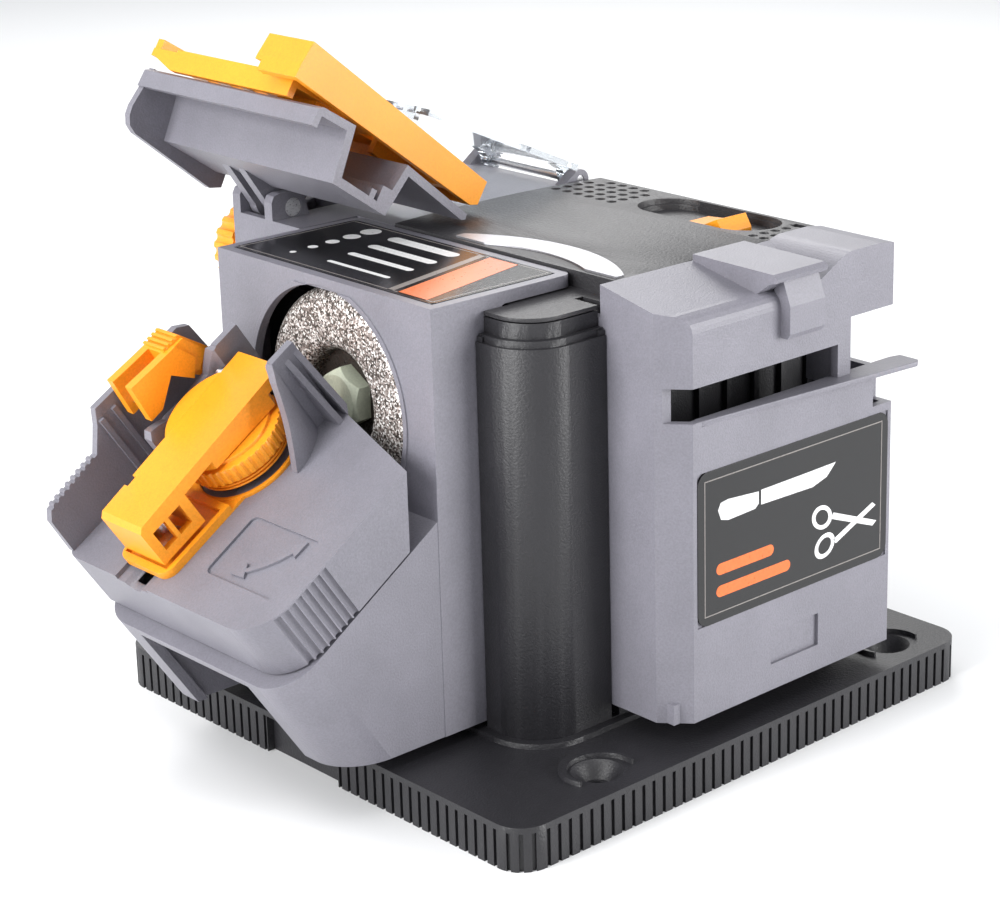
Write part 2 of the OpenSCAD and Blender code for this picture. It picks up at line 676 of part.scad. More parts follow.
// ---- drill attachment ----
module win_wall2d() {
  // front wall seen from -X in (y, z), with the window in front of the wheel
  difference() {
    translate([dy0, dz0]) square([dy1 - dy0, dz1 - dz0]);
    translate([ax_y, ax_z]) circle(win_r, $fn = 128);
  }
}
module yz_push(x0, x1) { translate([x0, 0, 0]) rotate([90, 0, 90]) linear_extrude(x1 - x0) children(); }
module nose_out(i, lo, hi) {
  tc() translate([0, 0, lo]) linear_extrude(hi - lo)
    rr(nose_s0 + i, dy0 + 0.25 + i, 90, nose_y1 - i, nose_r - i, 0, 0, nose_r - i);
}
// front wall, top plate, side walls with their rails
module drill_walls() {
  plate_b = cov_low + 0.4;
  yz_push(dx0, dx0 + d_t) win_wall2d();
  translate([dx0 + 1, 0, plate_b]) linear_extrude(dz1 - plate_b) rr(0, dy0, dx1 - dx0 - 1, dy1, 0, 3, 3, 0);
  for (y = [dy0, dy1 - d_t]) translate([0, y, 0]) {
    translate([dx0 + 1, 0, dz0]) cube([hx0 - dx0, d_t, plate_b - dz0 + 1]);
    translate([hx0 - 1, 0, dz0]) cube([1 + rail_in, d_t, d_rail_z - dz0]);
    difference() {
      translate([hx0 - 1, 0, d_rail_z - 1]) cube([13, d_t, plate_b - d_rail_z + 2]);
      translate([hx0 + 12.6, -1, plate_b - 4]) rotate([-90, 0, 0]) cylinder(h = 10, r = 4.3);
      translate([hx0 + 8.4, -1, d_rail_z]) cube([10, 10, plate_b - 4 - d_rail_z]);
    }
  }
}
// raised collar round the window
module window_collar() {
  yz_push(dx0 - 0.6, dx0 + 0.5) intersection() {
    translate([ax_y, ax_z]) difference() {
      circle(win_r + 1.6, $fn = 128);
      circle(win_r, $fn = 128);
    }
    translate([dy0 + 1, dz0]) square([dy1 - dy0 - 2, dz1 - dz0 - 3.2]);
  }
}
// sloping nose: a shell with two webs, open in the middle of its front
module nose_shell() {
  intersection() {
    difference() {
      nose_out(0, -90, nose_o);
      difference() {
        nose_out(nose_t, -95, nose_o - nose_t);
        for (y = [-22.8, 33]) translate([-130, y, 10]) cube([80, 2.5, 100]);
      }
      tc() translate([nose_s0 - 5, -19.5, -95]) cube([12, 50.5, 95 + nose_o - nose_t]);
    }
    translate([-140, dy0 - 1, dz0]) cube([140 + dx0 + 1.2, dy1 - dy0 + 2, 100]);
  }
}
module nose() {
  difference() {
    union() {
      nose_shell();
      // swing boss and the two stops that end the swing
      tc() translate([piv_s, piv_y, nose_o - 12]) cylinder(h = 12, r = piv_r + 3);
      tc() for (y = [piv_y - 17, piv_y + 17]) translate([piv_s - 20, y - 1.25, nose_o - e]) cube([5, 2.5, 4]);
    }
    tc() translate([piv_s, piv_y, nose_o - 13]) cylinder(h = 14, r = piv_r);
  }
}
module drill_attachment() color(grey) {
  difference() {
    union() {
      union() {
        drill_walls();
        window_collar();
      }
      nose();
      // ribs that stiffen the corner behind the front wall
      for (y = [dy0 + d_t - e, dy1 - d_t - 6 + e]) translate([dx0 + d_t - e, y, 24]) cube([2, 6, 40]);
    }
    // label seat
    translate([dx0 + 3.4, dy0 + 3.4, dz1 - lab_t]) cube([dx1 - dx0 - 6.8, dy1 - dy0 - 6.8, 3]);
  }
}
module drill_label() color([0.05, 0.05, 0.05])
  translate([dx0 + 3.4, dy0 + 3.4, dz1 - lab_t]) linear_extrude(lab_t + 0.2)
    rr(0, 0, dx1 - dx0 - 6.8, dy1 - dy0 - 6.8, 2, 2, 2, 2);

// ---- drill cradle ----
// plan outline whose back is a shallow V, upright in the world
module cr_back(i) {
  translate([0, 0, 0]) linear_extrude(200) polygon([[-200, -80], [-71.2 - i - 0.24 * 87, -80],
    [-71.2 - i, piv_y], [-71.2 - i - 0.24 * 87, 94], [-200, 94]]);
}
module cr_shell(i, lo, hi) {
  intersection() {
    tc() translate([0, 0, lo]) linear_extrude(hi - lo)
      rr(cr_s0 + i, dy0 + i, 70, cr_y1 - i, cr_r - i, 0, 0, 5 - i);
    cr_back(i);
  }
}
arc_r = 20.7;
module fin_wedge(pts) {
  // curved guide wall: ring clipped by a profile in (s, o)
  intersection() {
    difference() {
      cylinder(h = 60, r = arc_r + fin_t / 2);
      translate([0, 0, -1]) cylinder(h = 62, r = arc_r - fin_t / 2);
    }
    translate([-kn_s, 60, 0]) rotate([90, 0, 0]) linear_extrude(120) polygon(pts);
  }
}
module fin_right() {
  translate([kn_s, kn_y, 0]) intersection() {
    fin_wedge([[22, -1], [22, 0.5], [25, 5.8], [29.4, 13.5], [33.8, 22.5], [36.8, 25.6], [38.5, fin_h], [38.5, -1]]);
    translate([-40, -60, -1]) cube([80, 60 - 12, 80]);
  }
  translate([37.4, 4, -1]) cube([8.8, fin_t, fin_h + 1]);
  for (s = [40.5, 44.4]) translate([s, 4.5, -0.5]) rotate([90, 0, 90]) linear_extrude(1.8)
    polygon([[0, 0], [0, fin_h - 1], [-1.5, fin_h - 5], [-7.5, 0]]);
}
module fin_mid() {
  translate([kn_s, kn_y, 0]) intersection() {
    fin_wedge([[6, -1], [6, 19], [8, 20], [15, 16], [24, 15], [32, 18], [36, 25], [38.5, 25.6], [38.5, -1]]);
    translate([-40, 12, -1]) cube([80, 60, 80]);
  }
  translate([37.4, 30.5, -1]) cube([8.8, fin_t, 26.6]);
  for (s = [40.5, 44.4]) translate([s, 32.5, -0.5]) rotate([90, 0, 90]) linear_extrude(1.8)
    polygon([[0, 0], [0, 24], [1.5, 20], [5.5, 0]]);
}
module wall_left() {
  ypush(cr_y1 - fin_t, cr_y1) polygon([[-24.5, -4], [-25.5, 0], [-25, 12], [-23, 14.8], [-2.9, 16.5], [2.4, 23],
    [5, 27.5], [38.5, 26.5], [42, 24], [44, 0], [43, -4]]);
  // grip along its top edge
  for (k = [0 : 7]) cyl_y(-21 + k * 2.3, 14.9 + k * 0.195, cr_y1 - fin_t, cr_y1, 0.8);
  for (s = [3.5, 8.5]) translate([s, cr_y1 - fin_t - 1.2, 0]) cube([1.6, 1.4, 24]);
}
module arrow2d() {
  translate([15, 1.5]) rotate(226.1) {
    intersection() {
      difference() {
        circle(30.6, $fn = 128);
        circle(29.2, $fn = 128);
      }
      polygon([[0, 0], [40, 40 * tan(14)], [40, -40 * tan(14)]]);
    }
    for (m = [0, 1]) mirror([0, m]) rotate(14) translate([29.9, 0]) polygon([[-2.6, -0.2], [2.6, -0.2], [0, 4.6]]);
  }
}
module drill_cradle() color(grey) {
  difference() {
    union() {
      difference() {
        cr_shell(0, -cr_h + 0.3, 0);
        cr_shell(cr_w, -cr_h - 5, -cr_t);
      }
      intersection() {
        cr_back(0);
        tc() {
          fin_right();
          fin_mid();
          wall_left();
        }
      }
      tc() {
        // boss for the swing pin
        translate([piv_s, piv_y, -cr_h + 0.3]) cylinder(h = cr_h - 1, r = piv_r + 3);
        // wall that meets the nose's stops at either end of the swing
        translate([-11, piv_y - 10.5, -cr_h + 0.3]) cube([2, 21, cr_h - 1.3]);
        // ribs under the plate
        for (y = [-16, 30]) translate([-18, y, -9]) cube([44, 2, 7]);
        for (s = [-10, 26]) translate([s, -34, -9]) cube([2, 82, 7]);
      }
    }
    tc() {
      // grip grooves on both sides
      for (k = [0 : 7]) {
        s = -18.8 + k * 2.5;
        in = s < cr_s0 + cr_r ? cr_r - sqrt(pow(cr_r, 2) - pow(s - cr_s0 - cr_r, 2)) : 0;
        translate([s, dy0 + in, -cr_h - 1]) cylinder(h = cr_h + 0.4, r = 1, $fn = 24);
        translate([s, cr_y1, -cr_h - 1]) cylinder(h = cr_h + 0.4, r = 0.8, $fn = 24);
      }
      // swing pin bore
      translate([piv_s, piv_y, -cr_h - 1]) cylinder(h = cr_h - 2.4, r = piv_r + fit);
      // recess with the swing symbol
      difference() {
        translate([0, 0, -0.8]) linear_extrude(5) rr(-15.2, -31, 5.5, -1.5, 2, 2, 2, 2);
        translate([0, 0, -1]) linear_extrude(1) arrow2d();
      }
      // notch and groove at the front edge for the drill's shank
      translate([cr_s0 - 2, 12.5, -1.4]) cube([9.5, 15, 5]);
      translate([cr_s0 - 2, 20, 1.5]) rotate([0, 90, 0]) cylinder(h = 9.4, r = 5);
      // bores for the tip clamp's pin
      translate([35, 29, 17]) rotate([-90, 0, 0]) cylinder(h = 25, r = 1.5 + fit);
    }
  }
}
module cradle_pin() color(steel) tc() translate([piv_s, piv_y, 0]) {
  translate([0, 0, nose_o - 12]) cylinder(h = 12 - 4.1 - nose_o, r = piv_r);
  translate([0, 0, nose_o - 14.5]) cylinder(h = 2.5, r = piv_r + 2.5);
}
// orange tray the drill clamp sits in
module clamp_base() color(orange) tc() difference() {
  union() {
    linear_extrude(2.5) rr(-22.2, 6.9, 4.4, 29.8, 4, 0, 0, 4);
    translate([4, 6.9, 0]) cube([36, 22.9, 0.9]);
    translate([kn_s, kn_y, 0]) cylinder(h = 1.1, r = 16.6);
  }
  translate([-20, 8.6, 0.7]) cube([22.2, 19.9, 5]);
  translate([kn_s, kn_y, -1]) cylinder(h = 10, r = 15.4);
}
module clamp_knob() color(orange) tc() translate([kn_s, kn_y, 0]) difference() {
  union() {
    // ridged skirt
    translate([0, 0, 2.7]) cylinder(h = 4, r = 13.6);
    for (k = [0 : 2]) translate([0, 0, 2.9 + k * 1.1]) cylinder(h = 0.6, r = 14.6);
    difference() {
      translate([0, 0, 6]) cylinder(h = 5, r = kn_r);
      for (k = [0 : 39]) rotate(k * 9) translate([kn_r + 0.25, 0, 5]) cylinder(h = 9, r = 0.75, $fn = 24);
    }
    translate([0, 0, 10]) cylinder(h = 2, r = 13);
    translate([0, 0, 11]) cylinder(h = 4.6, r = 5);
  }
  translate([0, 0, 1]) cylinder(h = 7, r = 12.4);
}
module clamp_lever() color(orange) tc() difference() {
  union() {
    ypush(9, 28) polygon([[-19.5, 3.4], [-19.5, 16], [-18, 17.5], [41, 20.5], [41, 16.9], [5, 14.9], [-3, 14.4],
      [-3, 3.4]]);
    intersection() {
      translate([kn_s, kn_y, 12.3]) cylinder(h = 12, r = 15.5);
      ypush(9, 40) polygon([[0, 10], [0, 18.4], [41, 20.5], [41, 10]]);
    }
  }
  // hollow of the front box, open at the bottom
  translate([-17.2, 11.2, 2]) cube([12, 14.6, 12]);
  // pocket windows in the box's side
  for (s = [-16.6, -10.6]) translate([s, 8, 6.4]) cube([4.6, 5, 7]);
  // notch at the left
  translate([-8.6, 26.4, 2]) cube([3.4, 4, 20]);
  // bore on the knob's stem
  translate([kn_s, kn_y, 12]) cylinder(h = 3.9, r = 5 + fit);
  // relief groove under the bar that holds the drill
  translate([30, kn_y, 14.8]) rotate([0, 87, 0]) cylinder(h = 14, r = 3);
}
module clamp_pin() color(steel) tc() {
  // guide post of the clamp lever, standing in the tray
  translate([-11.2, kn_y, 0.7]) cylinder(h = 10, r = 3);
  translate([-11.2, kn_y, 0.7]) cylinder(h = 1, r = 4.6);
}
tp_s = 35;
tp_o = 17;
module tip_clamp() color(orange) tc() {
  difference() {
    union() {
      ypush(38.4, 48.4) polygon([[26.5, 31.4], [33.6, 31.8], [38.6, 22], [37.6, 15], [33.4, 14.2], [31.4, 17.6],
        [25.8, 24.2]]);
      for (y = [36.6, 45.6]) ypush(y, y + 3) polygon([[12.4, 32.2], [22, 31.6], [30, 31.2], [33, 24], [29, 19.2],
        [24, 25.6], [16, 19.8], [11.4, 19.8]]);
      ypush(37.2, 48.6) polygon([[30, 31], [33.4, 31], [37, 23], [32, 19.4], [29, 22]]);
      for (k = [0 : 3]) translate([27.2 + k * 1.7, 38.4, 31]) cube([0.9, 10, 1.3]);
    }
    cyl_y(tp_s, tp_o, 30, 55, 1.5);
  }
  difference() {
    cyl_y(tp_s, tp_o, 37.8, 48.4, 2.9);
    cyl_y(tp_s, tp_o, 30, 55, 1.5);
  }
}
module gauge_plate() color(steel) tc() {
  // shiny plate between the prongs, with the pin it turns on
  ypush(39.6, 45.6) polygon([[13.5, 23], [25.4, 25.1], [25.5, 23.8], [14, 21.4]]);
  cyl_y(tp_s, tp_o, 30.6, 52.2, 1.5);
}

// ---- knife and scissors attachment ----
function s_curve(x) = x < 23.7 ? kz1 - 7.6 : x > 45 ? kz1 : kz1 - 7.6 + 7.6 * (1 - cos(180 * (x - 23.7) / 21.3)) / 2;
module kn_plan(i) {
  polygon([[kx0 + i, hy0 - gap], [kx0 + i, ky0 + k_ch + i * 0.4], [kx0 + k_ch - 1 + i * 0.5, ky0 + i],
    [kx1 - i, ky0 + i], [kx1 - i, hy0 - gap]]);
}
k_in = hy0 + neck_in - 0.7;
module kn_block(i) {
  intersection() {
    translate([0, 0, kz0 - (i > 0 ? 20 : 0)]) linear_extrude(200) union() {
      kn_plan(i);
      translate([kx0 + i, hy0 - gap - 1]) square([kx1 - kx0 - 2 * i, k_in - hy0 + gap + 1 + (i > 0 ? 10 : 0)]);
    }
    union() {
      yz_push(kx0, 40) polygon(concat([[ky0 - 1, 0], [ky0 - 1, kz1 - 11.1]],
        [for (k = [0 : 6]) [ky0 + 5 + (5 - i) * cos(180 - 15 * k), kz1 - 11.1 + (5 - i) * sin(180 - 15 * k)]],
        [[k_in, kz1 - 1.2 - i], [k_in + 20, kz1 - 1.2 - i], [k_in + 20, 0]]));
      ypush(-95, k_in + 20) polygon(concat([[kx1 + 1, 0], [kx1 + 1, kz1 - 1 - i], [kx1 - 6, kz1 - i]],
        [for (k = [0 : 20]) [45 - k * 1.065, s_curve(45 - k * 1.065) - i]], [[23.7, 0]]));
    }
  }
}
module knife_attachment() color(grey) {
  difference() {
    union() {
      difference() {
        kn_block(0);
        kn_block(k_t);
        // keeps the part of the cap over the housing off its neck
        translate([kx0 - 1, hy0 - gap, 0]) cube([kx1 - kx0 + 2, 20, hz1 + 0.5]);
      }
      // rails
      for (x = [kx0, kx1 - k_t]) translate([x, hy0 - 2, kz0]) cube([k_t, 2 + rail_in, k_rail_z - kz0]);
      // upright rib between slot and scissors opening
      translate([40, ky0, 104]) cube([3.5, 14, 22]);
      // inner ribs of the front wall
      for (x = [-2, 28]) translate([x, ky0 + 1, kz0 + 2]) cube([2, 5, 84]);
      // scissors tongue over the top and its foot on the front
      yz_push(8, 29) polygon([[k_in, kz1 - 3], [k_in, kz1 + 0.6], [ky0 - 2.5, kz1 + 0.2], [ky0 - 4, kz1 - 1],
        [ky0 - 3.4, kz1 - 2.2], [ky0 - 1, kz1 - 2.8], [ky0 + 4, kz1 - 6.6]]);
      yz_push(14, 28.5) polygon([[ky0 + 1, kz1 - 19.5], [ky0 + 1, kz1 - 11], [ky0 + 3, kz1 - 5.4], [ky0 - 0.6, kz1 - 2.6],
        [ky0 - 3.4, kz1 - 10], [ky0 - 3.4, kz1 - 18], [ky0 - 2.4, kz1 - 19.5]]);
      // lug at the foot of the near corner
      translate([kx0 + 2, ky0 + 3, kz0]) cube([5, 5, 6]);
    }
    // seat of the guide lip
    lip();
    // knife slot, wrapped round the near corner
    translate([kx0 - 2, ky0 - 5, slot_z0]) cube([38 - kx0 + 2, 11.3, slot_z1 - slot_z0]);
    // scissors opening on the right
    translate([43.5, ky0 - 5, 105]) cube([25, 22, 19.5]);
    translate([53.7, ky0 - 5, 95]) cube([15, 11, 12]);
    // shallow recess below the label
    translate([10.5, ky0 - 1, 27]) cube([20.2, 2, 10]);
    // label seat
    translate([-19.5, ky0 - 1, 47]) cube([80, 1 + lab_t, 45.5]);
  }
}
module knife_label() color([0.05, 0.05, 0.05])
  translate([-19.5, ky0 + lab_t, 47]) rotate([90, 0, 0]) linear_extrude(lab_t + 0.2) rr(0, 0, 80, 45.5, 4, 4, 4, 4);
// thin lip: flush at the near corner, proud at the far end
module lip() {
  translate([0, 0, slot_z0 - 1.5]) linear_extrude(1.5) polygon([[-17.5, ky0], [66, ky0 - 6.4], [68, ky0 - 5],
    [68, ky0 + 2], [64, ky0 + 3], [-17.5, ky0 + 3]]);
}
module knife_guide() color(grey) lip();

// ---- chisel and plane-iron attachment ----
c_y0 = hy1 + gap;
module chisel_attachment() color(grey) {
  plate_b = cov_low + 0.5;
  difference() {
    union() {
      difference() {
        translate([0, 0, cz0]) linear_extrude(cz1 - cz0) rr(cx0, c_y0, cx1, cy1, 0, 0, 3, 3);
        translate([0, 0, cz0 - 1]) linear_extrude(plate_b - cz0 + 1)
          rr(cx0 + k_t, c_y0 - 5, cx1 - k_t, cy1 - k_t, 0, 0, 1, 1);
      }
      // top plate that reaches over the housing
      translate([cx0, dy1 + 0.6, plate_b]) cube([cx1 - cx0, c_y0 + 4 - dy1, cz1 - plate_b]);
      translate([cov_x0, cov_y1 + 0.6, plate_b]) cube([cx1 - cov_x0, c_y0 + 2 - cov_y1, cz1 - plate_b]);
      // rails
      for (x = [cx0, cx1 - k_t]) translate([x, hy1 - cg_d + 0.5, cz0]) cube([k_t, cg_d + 2, k_rail_z - cz0]);
      // two cheeks that carry the table's hinge
      for (y = [72, 88.2]) ypush(y, y + 3.8) {
        polygon([[cx0, cz1 - 11], [cx0, hp_z + 2.5], [cx0 + 1, hp_z + 4.4], [cx0 + 3, hp_z + 5], [hp_x, hp_z + 5],
          [hp_x + 5, hp_z], [hp_x + 9, cz1 - 11]]);
        translate([hp_x, hp_z]) circle(5);
      }
      // eyes that carry the shield
      for (y = [42, 88]) ypush(y, y + 4) {
        translate([sp_x, sp_z]) circle(3.4);
        polygon([[50, cz1 - 2.8], [50, cz1], [sp_x - 2, sp_z + 3.1], [sp_x + 3, sp_z - 1], [sp_x, sp_z - 3.4],
          [54, cz1 - 3.4]]);
      }
      // inner ribs
      for (x = [-8, 22]) translate([x, cy1 - k_t - 5, cz0 + 3]) cube([2, 6, 100]);
      translate([lk_x, cy1 - k_t + e, lk_z]) rotate([90, 0, 0]) cylinder(h = 2, r = 7);
    }
    // slot in the top for the table's brackets
    translate([cx0 + k_t, 75.8, plate_b - 1]) cube([26, 12.4, 20]);
    cyl_y(hp_x, hp_z, 70, 95, hp_r);
    cyl_y(lk_x, lk_z, 80, 100, 2.2 + fit);
    cyl_y(sp_x, sp_z, 40, 95, 1.5);
    // row of air slots in the back wall
    for (i = [0 : 4]) translate([-4 + i * 10, cy1 - 5, 34]) cube([4, 8, 30]);
  }
}
module tbl_sec() {
  polygon([[-24.5, 8.5], [-11.5, 8.5], [-9, -6.7], [8.7, -7.9], [11.5, 6], [39.7, 1.8], [40, 0.2], [38.6, -0.6],
    [13.4, 3.1], [10.9, -10.4], [-11.3, -9.3], [-13.8, 6], [-24.5, 6]]);
}
// hinge position in the table's own frame
function ht() = (hp_x - tb_x) * cos(tb_a) - (hp_z - tb_z) * sin(tb_a);
function hm() = (hp_x - tb_x) * sin(tb_a) + (hp_z - tb_z) * cos(tb_a);
lk_l = sqrt(pow(lk_x - hp_x, 2) + pow(lk_z - hp_z, 2));
module arc2d(r0, r1, a0, a1) {
  intersection() {
    difference() { circle(r1); circle(r0); }
    polygon([[0, 0], [60 * sin(a0), -60 * cos(a0)], [60 * sin((a0 + a1) / 2), -60 * cos((a0 + a1) / 2)],
      [60 * sin(a1), -60 * cos(a1)]]);
  }
}
module tool_table() color(grey) {
  difference() {
    union() {
      tt() ypush(tb_y0, tb_y1) tbl_sec();
      // far end wall
      tt() ypush(tb_y1 - 2.5, tb_y1) polygon([[-24.6, 8.8], [-26.5, -4.2],
        [-26.2, -7.2], [-24.6, -9.9], [-21.9, -11.4], [11.1, -15.8], [15, -14],
        [13.4, 4], [9, 6], [8.7, -7.9], [-9, -6.7], [-11.5, 8.5]]);
      // near edge return of the upper flange
      tt() ypush(tb_y0, tb_y1) polygon([[-24.5, 8.5], [-26, 7.6], [-26.2, 2.4], [-24, 2.4], [-24, 6.4]]);
      // stepped ribs in the channel
      tt() translate([2.6, tb_y0, -8]) cube([2, tb_y1 - tb_y0 - 1, 3]);
      tt() translate([6, tb_y0, -8]) cube([4, tb_y1 - tb_y0 - 1, 5.2]);
      // brackets down to the hinge
      for (y = [76.3, 84.2]) tt() ypush(y, y + 3.5)
        polygon([[-2, -9.4], [10.9, -9.8], [13, 3.2], [27, 1.2], [ht() + 4.2, hm() - 2.6], [ht() - 3.8, hm() - 3.2]]);
      for (y = [76.3, 84.2]) cyl_y(hp_x, hp_z, y, y + 3.5, 5);
      // quadrant the lock knob clamps
      translate([hp_x, 0, hp_z]) ypush(84.2, 87.7) difference() {
        arc2d(0, 24, -7, 37);
        lk_a = atan((lk_x - hp_x) / (hp_z - lk_z));
        arc2d(lk_l - 2.4, lk_l + 2.4, lk_a - 8, lk_a + 10);
        for (a = [lk_a - 8, lk_a + 10]) translate([lk_l * sin(a), -lk_l * cos(a)]) circle(2.7);
      }
    }
    cyl_y(hp_x, hp_z, 70, 95, hp_r + fit);
  }
}
module table_pin() color(steel) {
  cyl_y(hp_x, hp_z, 72.2, 91.8, hp_r);
}
module angle_knob() color(orange) {
  difference() {
    union() {
      cyl_y(lk_x, lk_z, cy1 + gap, cy1 + 3, lk_r - 2);
      cyl_y(lk_x, lk_z, cy1 + 2.5, cy1 + 11, lk_r);
      cyl_y(lk_x, lk_z, cy1 + 10, cy1 + 12.5, lk_r - 3);
    }
    translate([lk_x, 0, lk_z]) for (k = [0 : 19]) rotate([0, k * 18, 0]) translate([lk_r + 0.6, cy1, 0])
      rotate([-90, 0, 0]) cylinder(h = 12, r = 1.5, $fn = 24);
    cyl_y(lk_x, lk_z, cy1 - 1, cy1 + 8, 2.2);
  }
}
module angle_bolt() color(steel) {
  cyl_y(lk_x, lk_z, 81.3, cy1 + 7.9, 2.2);
  cyl_y(lk_x, lk_z, 79.9, 83.9, 4.6);
}
module chisel_carriage() color(orange) tt() difference() {
  union() {
    translate([-26, 38, 12.5]) cube([40, 70, 2.5]);
    translate([10, 52, 12.5]) cube([20, 56, 2.5]);
    translate([26, 38 + 14, 5]) cube([3, 56, 8]);
    translate([-26, 0, 0]) rotate([90, 0, 90]) linear_extrude(2.4)
      polygon([[38, 9.1], [96, 9.1], [106.5, 12.6], [38, 12.6]]);
    translate([27, 52, 4.3]) cube([3, 56, 9]);
    // key that runs in the table's channel
    translate([-8.4, 40, -6.2]) cube([7, 24, 19]);
    translate([-14, 40, 8.8]) cube([8, 24, 4]);
    // ears for the lever
    for (y = [38, 44]) ypush(y, y + 2.6) {
      polygon([[-26, 14], [-23.4, 18.4], [-20, 19.6], [-16.6, 18.4], [-14, 14]]);
    }
    // upstands that guide the tool
    translate([-26, 104.5, 14]) cube([10, 3, 4]);
    translate([-26, 56, 14]) cube([3, 40, 1.8]);
  }
  ypush(30, 60) translate([-20, 17.4]) circle(1.5 + fit);
  for (i = [0 : 3]) translate([-16, 58 + i * 12, 10]) cube([22, 6, 8]);
}
module lever_sec(i) {
  b = i > 0 ? 10 : 0;
  polygon([[-31.8 + i, 13.4 - b], [-31.6 + i, 17.8], [-30.4 + i, 25.1 - i], [49.4 - i * 1.2, 15 - i],
    [49.4 - i * 1.2, 7.4 - b], [46.5 - i, 6.1 - b]]);
}
module chisel_lever() color(orange) tt() difference() {
  ypush(30, 51) lever_sec(0);
  difference() {
    ypush(32.5, 48.5) lever_sec(2.6);
    // cross web near the working end and a seat behind it
    translate([34, 30, 0]) cube([2.5, 30, 30]);
  }
  // far side wall stays above the carriage
  translate([-33, 48, 0]) cube([52, 5, 15.6]);
  translate([-36, 48, 0]) cube([13.5, 5, 16.5]);
  ypush(31.2, 49.8) translate([-20, 17.4]) circle(1.5);
}
module lever_pin() color(steel) tt() ypush(31.2, 49.8) translate([-20, 17.4]) circle(1.5);
sh_l = 70;
sh_a = 24;
module clear_shield() color([0.85, 0.9, 0.95, 0.5]) translate([sp_x, 0, sp_z]) rotate([0, sh_a, 0]) mirror([1, 0, 0]) difference() {
  union() {
    translate([3.6, 41.2, 2.2]) linear_extrude(2) rr(0, 0, sh_l - 3.6, 51.6, 0, 6, 6, 0);
    translate([sh_l - 2, 47, 0.2]) cube([2, 40, 2.6]);
    for (y = [46.4, 84]) {
      ypush(y, y + 3.6) polygon([[-1, -2], [-2.4, 1.8], [0, 3], [2.4, 4.2], [9, 4.2], [9, 2.2], [4.5, 1.2], [2, -2]]);
      cyl_y(0, 0, y, y + 3.6, 3);
    }
  }
  cyl_y(0, 0, 40, 95, 1.5 + fit);
}
module shield_pin() color(steel) cyl_y(sp_x, sp_z, 42.2, 91.8, 1.5);

base_plate();
motor_housing();
housing_screws();
top_cover();
cover_badge();
cord_gland();
switch_frame();
switch_rocker();
motor_mounts();
stator();
field_coils();
brush_holders();
brushes();
bearing_front();
bearing_rear();
shaft();
armature();
armature_windings();
commutator();
cooling_fan();
wheel_flange();
diamond_wheel();
hub_nut();
drill_attachment();
drill_label();
drill_cradle();
cradle_pin();
clamp_base();
clamp_knob();
clamp_lever();
clamp_pin();
tip_clamp();
gauge_plate();
knife_attachment();
knife_label();
knife_guide();
chisel_attachment();
tool_table();
table_pin();
angle_knob();
angle_bolt();
chisel_carriage();
chisel_lever();
lever_pin();
clear_shield();
shield_pin();
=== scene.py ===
"""Looks of the electric multi-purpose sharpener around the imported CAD.

Camera, light, materials, softened edges and printed labels, in metres and in the CAD frame.
"""

import json
import math

import bmesh
import bpy
from mathutils import Matrix, Vector


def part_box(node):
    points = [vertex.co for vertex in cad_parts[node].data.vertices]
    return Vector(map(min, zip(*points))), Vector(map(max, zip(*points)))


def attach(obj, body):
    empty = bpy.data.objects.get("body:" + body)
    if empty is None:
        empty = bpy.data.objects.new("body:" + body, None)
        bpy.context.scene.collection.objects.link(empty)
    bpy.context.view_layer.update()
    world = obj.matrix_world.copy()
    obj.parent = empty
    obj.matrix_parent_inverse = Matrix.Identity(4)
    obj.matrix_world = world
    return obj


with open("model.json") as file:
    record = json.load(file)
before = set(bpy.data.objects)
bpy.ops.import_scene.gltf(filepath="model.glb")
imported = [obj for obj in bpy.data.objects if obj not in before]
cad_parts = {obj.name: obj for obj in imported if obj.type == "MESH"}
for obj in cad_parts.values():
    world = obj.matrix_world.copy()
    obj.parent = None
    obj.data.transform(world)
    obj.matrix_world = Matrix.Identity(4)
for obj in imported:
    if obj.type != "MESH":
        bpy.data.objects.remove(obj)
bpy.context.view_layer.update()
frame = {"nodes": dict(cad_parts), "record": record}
NODES = frame["nodes"]
MM = 0.001

# ---------------------------------------------------------------- camera
CAM_AZ, CAM_EL, CAM_ROLL = -45.393, 17.102, -0.231
CAM_POS = (-0.484605, -0.544724, 0.324929)
FOCAL_PX, CENTRE_X, CENTRE_Y = 2539.5, 696.5, 365.45
PHOTO_W, PHOTO_H = 1000, 902
SENSOR_MM = 36.0


def make_camera():
    a, e, r = (math.radians(v) for v in (CAM_AZ, CAM_EL, CAM_ROLL))
    back = Vector((math.sin(a) * math.cos(e), -math.cos(a) * math.cos(e), math.sin(e)))
    right = Vector((0, 0, 1)).cross(back).normalized()
    up = back.cross(right)
    right, up = (
        math.cos(r) * right + math.sin(r) * up,
        -math.sin(r) * right + math.cos(r) * up,
    )
    data = bpy.data.cameras.new("camera")
    data.sensor_width = SENSOR_MM
    data.lens = FOCAL_PX / PHOTO_W * SENSOR_MM
    data.shift_x = (PHOTO_W / 2 - CENTRE_X) / PHOTO_W
    data.shift_y = (CENTRE_Y - PHOTO_H / 2) / PHOTO_W
    data.clip_start = 0.01
    cam = bpy.data.objects.new("camera", data)
    rot = Matrix((right, up, back)).transposed()
    cam.matrix_world = Matrix.Translation(CAM_POS) @ rot.to_4x4()
    bpy.context.scene.collection.objects.link(cam)
    bpy.context.scene.camera = cam


make_camera()

# ---------------------------------------------------------------- light
scene = bpy.context.scene
scene.view_settings.view_transform = "Standard"
scene.view_settings.look = "None"
scene.view_settings.exposure = 0.0


